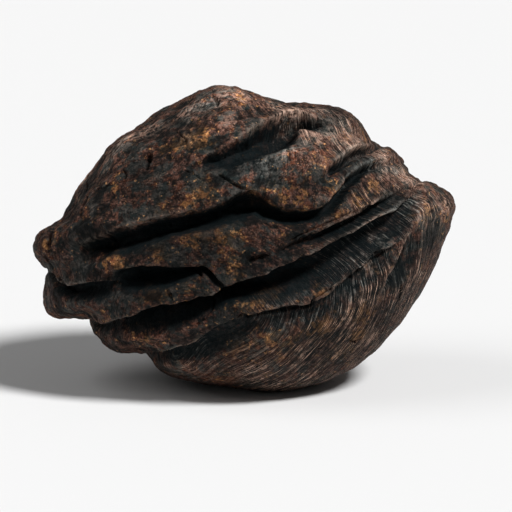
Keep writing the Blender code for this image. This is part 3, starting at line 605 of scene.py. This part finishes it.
CRACKS = [  # half width, then (x, z) along the crack
    (2.80, [(-45.5, 42), (-46.5, 39), (-47.5, 36), (-47, 32.5)]),
    (1.00, [(-45, 43), (-41, 45), (-37, 46.5)]),
    (1.38, [(-17, 71), (-15, 69.5), (-13, 66), (-13.5, 63.5)]),
    (1.12, [(-79, 28.5), (-77.5, 26), (-77.5, 22.5)]),
    (1.00, [(-76, 22), (-78.5, 17), (-80.5, 11.5), (-78, 9)]),
    (0.62, [(-75, 22.5), (-64, 26), (-51.5, 29.5)]),
    (1.38, [(-37, -25), (-35.5, -27.5), (-34, -30.5)]),
    (1.25, [(-24.5, -15), (-21.5, -17), (-19, -20)]),
    (0.94, [(-13.5, -28), (-14, -31), (-15.5, -35), (-19, -39.5), (-25, -43)]),
    (1.62, [(1, -12.5), (5.5, -10.2), (12.5, -8.5)]),
    (1.12, [(-98, -8), (-97, -11), (-94, -16), (-90.5, -20.5), (-86, -24), (-80, -27)]),
    (1.00, [(-69, -47), (-67.5, -52)]),
    (1.62, [
        (70, -5), (64.5, -9.5), (53, -17.5), (41.5, -26), (31.5, -32.5), (19.5, -34.5), (12, -35.5),
        (-4, -39),
    ]),
    (1.25, [(75.5, 22), (78, 23.6), (81.5, 24.6)]),
    (1.30, [(72, 14), (77, 16.5), (80.5, 19.5), (83, 23.5), (85, 28)]),
    (1.12, [(97.5, 9.5), (99, 13.5), (102, 18)]),
    (1.38, [(66, 17), (60, 14.5), (47, 9.5), (33, 3.5), (22.5, -2)]),
    (1.00, [(40, 5), (33, 1.5), (25, -3)]),
    (1.12, [(-12, 30), (-8, 28), (-3, 24.5), (3, 22.5)]),
    (1.12, [(78.5, -3.5), (76, -10), (73, -16), (70, -22), (68.5, -26)]),
    (1.12, [(77, -22), (77.2, -26), (76.5, -31)]),
    (0.88, [(14, 58), (20, 55), (27, 54.5)]),
    (0.75, [(-34, 52), (-29, 49), (-28, 45)]),
    (0.75, [(8, 9), (13, 5), (19, 4.5)]),
    (0.88, [(-70, 3), (-64, 0), (-60, -4)]),
    (0.88, [(58, -49), (54, -51.5), (51, -50)]),
    (1.00, [(-60, 34), (-57, 31), (-58, 27)]),
    (0.75, [(-30, 33), (-24, 31), (-20, 27.5)]),
]
CRACK_STEP = 1.0
CRACK_JAG, CRACK_JAG_SIZE = 0.5, 2.1  # how far a crack strays from its path, and over what length
CRACK_CLOSES = 3.0  # how far from its end a crack begins to narrow
CRACK_END = 0.15  # the share of its width that it has left there
WELL_BEFORE = -200  # a depth that is well before the stone

seen = BVHTree.FromPolygons(shape.tolist(), [tuple(face.vertices) for face in stone.data.polygons])
crack_points, crack_edges, crack_widths = [], [], []
for half_width, points in CRACKS:
    knots = np.array(points, float)
    run = np.append(0, np.cumsum(np.linalg.norm(np.diff(knots, axis=0), axis=1)))
    at = np.linspace(0, run[-1], int(run[-1] / CRACK_STEP) + 2)
    for i, distance in enumerate(at):
        x, z = np.interp(distance, run, knots[:, 0]), np.interp(distance, run, knots[:, 1])
        jag = noise.noise_vector(Vector((x, 5.0, z)) / CRACK_JAG_SIZE) * CRACK_JAG
        hit, _, _, _ = seen.ray_cast(Vector((x + jag.x, WELL_BEFORE, z + jag.z)), Vector((0, 1, 0)))
        if i:
            crack_edges.append((len(crack_points) - 1, len(crack_points)))
        crack_points.append(hit)
        closing = min(min(distance, run[-1] - distance) / CRACK_CLOSES, 1.0)
        crack_widths.append(half_width * (CRACK_END + (1 - CRACK_END) * closing))
cracks = bpy.data.objects.new("crack_paths", bpy.data.meshes.new("crack_paths"))
cracks.data.from_pydata(crack_points, crack_edges, [])
cracks.data.attributes.new("half_width", "FLOAT", "POINT").data.foreach_set("value", crack_widths)
bpy.context.scene.collection.objects.link(cracks)

# ------------------------------------------------------------
# How the stone lies: it leans back from the upright, on a flat worn on its belly. From here on it is in
# metres, with the floor at zero and its bounding box's middle over the origin.

LEAN = math.radians(12.0)
FLAT_DEPTH = 3.2

lie = Matrix.Rotation(-LEAN, 4, "X") @ Matrix.Scale(MM, 4)
stone.data.transform(lie)
corners = np.empty(len(stone.data.vertices) * 3)
stone.data.vertices.foreach_get("co", corners)
corners = corners.reshape(-1, 3)
floor_at = corners[:, 2].min() + FLAT_DEPTH * MM
corners[:, 2] = np.maximum(corners[:, 2], floor_at)
middle = (corners.min(0) + corners.max(0)) / 2
face_middle = np.array([-middle[0], -middle[1], -floor_at])
corners += face_middle
stone.data.vertices.foreach_set("co", corners.ravel())
stone.data.update()
cracks.data.transform(Matrix.Translation(face_middle) @ lie)

# ------------------------------------------------------------
# The crust's relief. Strands, grains, pits and cracks are raised and sunk on the finished form: the strands
# follow the combed flow, and the cracks follow their paths.

RELIEF = {  # in millimetres, but for the pits' share, and the cracks' depth as a share of their half width
    "Strand Height": 0.18, "Strand Width": 0.95, "Fine Strand Height": 0.08, "Grain Height": 0.30,
    "Grain Size": 2.6, "Flake Height": 0.60, "Pit Depth": 0.55, "Pit Share": 0.30, "Crack Depth": 1.5,
}
WANDER, WANDER_SCALE = 1.2, 0.06  # how far the strands wander sideways, and how often in a millimetre
ALONG_STRAND = 0.075  # how much a strand changes in a millimetre of its length
FINE_WIDTH = 0.75
GRAIN_REACH = 1.15  # grains and flakes fade as the strands come near this
NOISE_TO_HEIGHT = 4.0  # noise strays about a quarter from its middle, and heights go from -1 to 1
FLAKE_SCALE, PIT_SCALE = 0.13, 0.17
LUMP_SHARE = 0.35  # how much of the stone's lumps the finish reads with the relief


def add_node(tree, kind, inputs=(), **settings):
    """A new node in the tree, with these settings. Its inputs are wires or plain values."""
    node = tree.nodes.new(kind)
    for name, value in settings.items():
        setattr(node, name, value)
    for socket, value in dict(inputs).items():
        if isinstance(value, Wire):
            tree.links.new(value.socket, node.inputs[socket])
        else:
            node.inputs[socket].default_value = value
    return node


def wire(tree, kind, inputs=(), output=0, **settings):
    """The wire that leaves a new node in the tree."""
    return Wire(add_node(tree, kind, inputs, **settings).outputs[output])


def arithmetic(operation, turned=False):
    """A wire's method for this operation on it and another value, taken the other way round if turned."""
    return lambda self, other: self.calc(operation, *((other, self) if turned else (self, other)))


class Wire:
    """A value in a node tree. Arithmetic on wires adds the nodes that work it out."""

    def __init__(self, socket):
        self.socket = socket

    def into(self, kind, inputs, **settings):
        return wire(self.socket.id_data, kind, inputs, **settings)

    def calc(self, operation, *values):
        return self.into("ShaderNodeMath", enumerate(values), operation=operation)

    __add__ = arithmetic("ADD")
    __sub__ = arithmetic("SUBTRACT")
    __rsub__ = arithmetic("SUBTRACT", turned=True)
    __mul__ = arithmetic("MULTIPLY")
    __truediv__ = arithmetic("DIVIDE")
    __rtruediv__ = arithmetic("DIVIDE", turned=True)
    __rpow__ = arithmetic("POWER", turned=True)
    __lt__ = arithmetic("LESS_THAN")

    def rise(self, low, high, start=0.0, end=1.0):
        """Start below low, end above high, and a smooth rise between."""
        inputs = {"Value": self, "From Min": low, "From Max": high, "To Min": start, "To Max": end}
        return self.into("ShaderNodeMapRange", inputs, interpolation_type="SMOOTHSTEP")

    def scaled(self, scale):
        return self.into("ShaderNodeVectorMath", {0: self, "Scale": scale}, operation="SCALE")

    def parts(self):
        node = add_node(self.socket.id_data, "ShaderNodeSeparateXYZ", {0: self})
        return [Wire(socket) for socket in node.outputs]

    def noise(self, scale, detail=2.0, roughness=0.5, distortion=0.0):
        """Noise at these places, with about scale features in a unit of length."""
        inputs = {"Vector": self, "Scale": scale, "Detail": detail, "Roughness": roughness}
        return self.into("ShaderNodeTexNoise", {**inputs, "Distortion": distortion})


def vector_of(x, y, z):
    return x.into("ShaderNodeCombineXYZ", {0: x, 1: y, 2: z})


def across_strands(place, flow):
    """How far across the strands a place lies, in millimetres: the combed flow, with a slow wander."""
    return flow + (place.noise(WANDER_SCALE) - 0.5) * WANDER


def stored(name):
    return wire(relief, "GeometryNodeInputNamedAttribute", {"Name": name}, data_type="FLOAT")


def combed_height(width, detail, roughness):
    """Strands about this wide, from -1 to 1."""
    at = vector_of(across_flow / width, x * ALONG_STRAND, z * ALONG_STRAND)
    return (at.noise(1.0, detail, roughness) - 0.5) * NOISE_TO_HEIGHT


relief = bpy.data.node_groups.new("crust_relief", "GeometryNodeTree")
sockets = {"Stone": "Geometry", "Cracks": "Object", **dict.fromkeys(RELIEF, "Float"), "Crust": "Material"}
for name, kind in sockets.items():
    relief.interface.new_socket(name, in_out="INPUT", socket_type="NodeSocket" + kind)
relief.interface.new_socket("Stone", in_out="OUTPUT", socket_type="NodeSocketGeometry")
given = {socket.name: Wire(socket) for socket in relief.nodes.new("NodeGroupInput").outputs}

place = wire(relief, "GeometryNodeInputPosition").scaled(1 / MM)
x, y, z = place.parts()
across_flow = across_strands(place, stored("flow"))
strand = combed_height(given["Strand Width"], 2.0, 0.6) * given["Strand Height"]
fine = combed_height(FINE_WIDTH, 1.0, 0.5) * given["Fine Strand Height"]
combed = (strand + fine) * stored("strands")

loose = GRAIN_REACH - stored("strands")
grain = place.noise(1.0 / given["Grain Size"], 3.0, 0.6) - 0.5
grains = grain * NOISE_TO_HEIGHT * (given["Grain Height"] * loose)

flakes = {"Vector": vector_of(x * 0.6, y, z), "Scale": FLAKE_SCALE, "Smoothness": 0.15, "Randomness": 1.0}
flake = wire(relief, "ShaderNodeTexVoronoi", flakes, "Distance", feature="SMOOTH_F1")
flake = (flake.rise(0.25, 0.9) - 0.5) * (given["Flake Height"] * loose)

cells = {"Vector": place, "Scale": PIT_SCALE, "Randomness": 1.0}
pits = add_node(relief, "ShaderNodeTexVoronoi", cells, feature="F1").outputs
pit_here = Wire(pits["Color"]).parts()[0] < given["Pit Share"]
pit = Wire(pits["Distance"]).rise(0.08, 0.2, 1.0, 0.0) * pit_here * given["Pit Depth"]

crack_lines = wire(
    relief, "GeometryNodeObjectInfo", {"Object": given["Cracks"]}, "Geometry", transform_space="RELATIVE",
)
to_crack = wire(relief, "GeometryNodeProximity", {0: crack_lines}, "Distance", target_element="EDGES") / MM
nearest = wire(relief, "GeometryNodeSampleNearest", {0: crack_lines}, domain="POINT")
widths = {"Geometry": crack_lines, "Value": stored("half_width"), "Index": nearest}
half_width = wire(relief, "GeometryNodeSampleIndex", widths, data_type="FLOAT", domain="POINT")
crack_open = (to_crack / half_width).rise(0.3, 1.0, 1.0, 0.0)
crack = crack_open * half_width * given["Crack Depth"]

height = combed + grains + flake
relief_here = stored("lump") * LUMP_SHARE + height
off_the_floor = z.rise(0.05, 2.5)
height = (height - pit - crack) * off_the_floor * MM
push = wire(relief, "GeometryNodeInputNormal").scaled(height)
made = wire(relief, "GeometryNodeSetPosition", {"Geometry": given["Stone"], "Offset": push})
for name, value in (("crack", crack_open), ("relief", relief_here)):
    kept = {"Geometry": made, "Name": name, "Value": value}
    made = wire(relief, "GeometryNodeStoreNamedAttribute", kept, data_type="FLOAT", domain="POINT")
made = wire(relief, "GeometryNodeRealizeInstances", {0: made})
made = wire(relief, "GeometryNodeSetMaterial", {"Geometry": made, "Material": given["Crust"]})
add_node(relief, "NodeGroupOutput", {0: made})

# ------------------------------------------------------------
# The crust's finish: a matt fusion crust, mauve-brown with slaty patches where it stands out, painted shade
# near black with a cold tint in the grooves, painted light and shade in its tone, pale strands, gold and
# red-brown rust, and black cracks and pits.

MAUVE = (0.071, 0.0425, 0.034, 1)
BROWN = (0.0275, 0.016, 0.0128, 1)
SLATE = (0.0360, 0.042, 0.0410, 1)
SLATE_DARK = (0.0165, 0.023, 0.0228, 1)
SOOT_AND_SHADE = (0.0030, 0.0044, 0.0046, 1)
# pale wear, and painted highlight on edges and on the lit ground
WORN_AND_LIT_PALE = (0.190, 0.152, 0.129, 1)
RUST_RED = (0.094, 0.040, 0.022, 1)
RUST_GOLD = (0.148, 0.088, 0.043, 1)
RUST_PALE = (0.310, 0.195, 0.102, 1)
STRAND_PALE = (0.300, 0.234, 0.198, 1)
STRAND_COLD = (0.135, 0.137, 0.130, 1)
STRAND_BED = (0.0125, 0.0145, 0.014, 1)
# painted shade for the grooves: near black with a cold tint
GROOVE_PAINTED_SHADE = (0.0010, 0.0042, 0.0052, 1)
CRACK_BLACK = (0.0008, 0.0012, 0.0012, 1)
CONTRAST = 1.55  # the mixed coats are raised to this power, which deepens and darkens them
PALER_START = 6.9  # then they are made this many times as pale
PALER_STEP = 2.8  # and this many times again for each step of tone and painted light
PALER_GRAIN = 1.6  # how many such steps the grain makes
GLOSS = 0.12
BUMP_STRENGTH, BUMP_DEPTH = 0.9, 1.1  # the depth in millimetres

crust = bpy.data.materials.new("fusion_crust")
crust.use_nodes = True
tree = crust.node_tree
tree.nodes.clear()


def mark(name):
    return wire(tree, "ShaderNodeAttribute", output="Fac", attribute_name=name)


def mixed(share, first, second):
    return wire(tree, "ShaderNodeMix", {0: share, 6: first, 7: second}, 2, data_type="RGBA")


def coated(colour, coat, where, share):
    """The colour with this share of a coat over it, where the coat lies."""
    return mixed(where * share, colour, coat)


def along_flow(width, length, detail=2.0, roughness=0.6):
    """Noise drawn out along the strands: features about this wide and this long, in millimetres."""
    return vector_of(across_flow / width, x / length, z / length).noise(1.0, detail, roughness)


place = wire(tree, "ShaderNodeTexCoord", output="Object").scaled(1 / MM)
x, _, z = place.parts()
across_flow = across_strands(place, mark("flow"))
strands_here, groove_shade_here, relief_seen = mark("strands"), mark("groove"), mark("relief")
rusty, bare_slate, tone = mark("rust"), mark("slate"), mark("tone")

grain = place.noise(1.15, 3.0, 0.75)
mottle = place.noise(0.40, 4.0, 0.7) * 0.75 + along_flow(1.3, 6.0, 4.0, 0.7) * 0.5 - 0.125
patches = place.noise(0.10, 6.0, 0.62, 0.2)
drawn_out = along_flow(2.6, 9.0, 4.0)

# The ground: mauve and brown, with red and gold rust, worn grains, slaty patches and pale specks.
colour = mixed(mottle.rise(0.44, 0.58), BROWN, MAUVE)
red = (place.noise(0.26, 5.0, 0.7) + rusty * 0.10).rise(0.53, 0.66)
colour = coated(colour, RUST_RED, red, 0.55)
gold = place.noise(0.33, 4.0, 0.65) * 0.7 + drawn_out * 0.3 + place.noise(0.055) * 0.22
gold = (gold + rusty * 0.21).rise(0.735, 0.81) * (1.0 - bare_slate * 0.7)
colour = coated(colour, RUST_GOLD, gold, 0.75)
colour = coated(colour, WORN_AND_LIT_PALE, grain.rise(0.54, 0.68), 0.3)
slaty = patches * 0.7 + drawn_out * 0.3 - tone * 0.03 - rusty * 0.05 + bare_slate * 0.12
colour = coated(colour, mixed(mottle.rise(0.40, 0.60), SLATE_DARK, SLATE), slaty.rise(0.50, 0.555), 0.75)
speck = (place.noise(0.42, 3.0, 0.6) + rusty * 0.075).rise(0.645, 0.73)
colour = coated(colour, RUST_PALE, speck, 0.55)

# The soot: between the grains and in dashes along the flow, and painted shade in what is sunk. What stands
# out is worn pale.
colour = coated(colour, SOOT_AND_SHADE, grain.rise(0.46, 0.34), 0.6)
colour = coated(colour, SLATE_DARK, place.noise(0.21, 5.0, 0.65).rise(0.46, 0.38), 0.75)
# Painted shade in what is sunk: darker where the relief is low.
sunk_painted_shade = (relief_seen + (mottle - 0.5) * 1.2).rise(0.15, -0.45)
colour = coated(colour, SOOT_AND_SHADE, sunk_painted_shade, 0.8)
raised = (relief_seen + (grain - 0.5) * 1.5).rise(0.45, 1.0)
colour = coated(colour, WORN_AND_LIT_PALE, raised, 0.25)
colour = coated(colour, SOOT_AND_SHADE, along_flow(0.6, 4.0, 3.0).rise(0.44, 0.36), 0.5)

# The strands: pale and dark threads on a dark bed, cold in the grooves and on slate, rusty in the blooms.
strand = along_flow(0.36, 13.0) * 0.72 + along_flow(1.1, 20.0) * 0.28
bare = place.noise(0.07).rise(0.40, 0.52, 0.45, 1.0)
strands_seen = strands_here.rise(0.25, 0.95) * bare
cold = (groove_shade_here + bare_slate * 0.4 + patches * 0.5).rise(0.35, 0.75)
broken = place.noise(0.36, 4.0, 0.6).rise(0.38, 0.58, 0.3, 1.0)
dark_strand = strand.rise(0.50, 0.42) * strands_seen
pale_strand = strand.rise(0.525, 0.595) * (strands_seen * broken)
# Pale ground where the tone is high, which is partly painted light.
pale_ground_and_light = tone.rise(0.15, 0.75) * mottle.rise(0.42, 0.60)
colour = coated(colour, mixed(bare_slate, WORN_AND_LIT_PALE, STRAND_COLD), pale_ground_and_light, 0.4)
colour = coated(colour, STRAND_BED, strands_seen, 0.4)
colour = coated(colour, SOOT_AND_SHADE, dark_strand, 0.85)
strand_colour = mixed(rusty * 0.7, STRAND_PALE, RUST_GOLD)
colour = coated(colour, mixed(cold, strand_colour, STRAND_COLD), pale_strand, 0.72)
stain = place.noise(0.16, 5.0, 0.65).rise(0.48, 0.62) * strands_seen
colour = coated(colour, MAUVE, stain, 0.3)
colour = coated(colour, RUST_GOLD, gold * strands_seen, 0.2)
# Pale ledge edges: wear, and a painted highlight along the crests.
edge = mark("edge") * mottle.rise(0.40, 0.54) * strands_here
colour = coated(colour, mixed(bare_slate, WORN_AND_LIT_PALE, STRAND_COLD), edge, 0.7)

# The whole, deepened and made paler or darker by its tone and painted light and shade, with painted shade in
# the grooves and the cracks black.
colour = wire(tree, "ShaderNodeGamma", {"Color": colour, "Gamma": CONTRAST})
# Paler and darker by the tone, which carries painted light and shade as well as the crust's own tone.
paler = PALER_STEP ** (tone + (grain - 0.5) * PALER_GRAIN) * PALER_START
colour = colour.scaled(paler)
# Painted shade in the grooves, lifted a little where pale strands and painted light lie.
groove_shade_share = (groove_shade_here - (mottle - 0.5) * 0.8).rise(0.10, 0.70)
lit_groove = pale_strand * 0.6 + tone.rise(0.15, 0.7) * 0.22
colour = coated(colour, GROOVE_PAINTED_SHADE, groove_shade_share * (1.0 - lit_groove), 0.94)
colour = coated(colour, CRACK_BLACK, mark("crack"), 0.97)

bump_height = grain * 0.6 + strand * 1.6 * strands_here + mottle * 0.9
bump = {"Height": bump_height, "Strength": BUMP_STRENGTH, "Distance": BUMP_DEPTH * MM}
surface = {
    "Base Color": colour, "Roughness": mottle.rise(0.3, 0.7, 0.85, 0.6),
    "Normal": wire(tree, "ShaderNodeBump", bump), "Specular IOR Level": GLOSS,
}
add_node(tree, "ShaderNodeOutputMaterial", {"Surface": wire(tree, "ShaderNodeBsdfPrincipled", surface)})

# ------------------------------------------------------------
# The finished stone: the relief is applied and thinned to one closed, smooth-shaded mesh, which takes the
# plain solid's place.

TRIANGLES = 196_000

stone.data.shade_smooth()
carve = stone.modifiers.new("crust_relief", "NODES")
carve.node_group = relief
settings = {**RELIEF, "Cracks": cracks, "Crust": crust}
for item in relief.interface.items_tree:
    if item.name in settings:
        carve[item.identifier] = settings[item.name]
thin = stone.modifiers.new("thin", "DECIMATE")
thin.ratio = TRIANGLES / (12 * 4**CUBE_LEVELS)  # of the cube's 12 triangles, each cut in four at each level
bpy.context.view_layer.update()
finished = bpy.data.meshes.new_from_object(stone.evaluated_get(bpy.context.evaluated_depsgraph_get()))
stone.modifiers.clear()
stone.data = finished
stone.data.name = "meteorite_stone"
bpy.data.objects.remove(cracks)
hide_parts("meteorite")
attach(stone, "root")

# ------------------------------------------------------------
# The studio: a plain pale floor, a strong key sun from the upper right, a weak and wide rim sun from the
# upper left, and a low, even world. The camera looks square at the carved face.

FLOOR_SIZE = 12
FLOOR_PALE = (0.76, 0.76, 0.76, 1)
FLOOR_ROUGH = 0.9
LIGHTS = [  # name, where it shines from, strength, how many degrees wide
    ("key", (0.60, -0.45, 0.90), 4.1, 14),
    ("rim", (-0.75, -0.15, 0.80), 0.7, 40),
]
WORLD_STRENGTH = 0.10
HALF_VIEW = 128.0 * MM
AIM = (6.0, -9.0)  # the view's middle, in the face frame

bpy.ops.mesh.primitive_plane_add(size=FLOOR_SIZE)
floor = bpy.context.active_object
floor.name = "studio_floor"
pale = bpy.data.materials.new("pale_floor")
pale.use_nodes = True
pale.node_tree.nodes["Principled BSDF"].inputs["Base Color"].default_value = FLOOR_PALE
pale.node_tree.nodes["Principled BSDF"].inputs["Roughness"].default_value = FLOOR_ROUGH
floor.data.materials.append(pale)

for name, lit_from, strength, wide in LIGHTS:
    sun = bpy.data.lights.new(name, "SUN")
    sun.energy = strength
    sun.angle = math.radians(wide)
    holder = bpy.data.objects.new(name, sun)
    holder.rotation_euler = (-Vector(lit_from)).to_track_quat("-Z", "Y").to_euler()
    bpy.context.scene.collection.objects.link(holder)
world = bpy.data.worlds.new("studio")
world.use_nodes = True
world.node_tree.nodes["Background"].inputs["Color"].default_value = (1, 1, 1, 1)
world.node_tree.nodes["Background"].inputs["Strength"].default_value = WORLD_STRENGTH
bpy.context.scene.world = world
bpy.context.scene.view_settings.view_transform = "Standard"

camera_data = bpy.data.cameras.new("camera")
camera_data.sensor_width = 36.0
camera_data.lens = 250.0
camera = bpy.data.objects.new("camera", camera_data)
aim = Vector(face_middle) + lie @ Vector((AIM[0], 0, AIM[1]))
away = Vector((0, -math.cos(LEAN), math.sin(LEAN)))
camera.location = aim + away * HALF_VIEW * camera_data.lens / (camera_data.sensor_width / 2)
camera.rotation_euler = (-away).to_track_quat("-Z", "Y").to_euler()
bpy.context.scene.collection.objects.link(camera)
bpy.context.scene.camera = camera
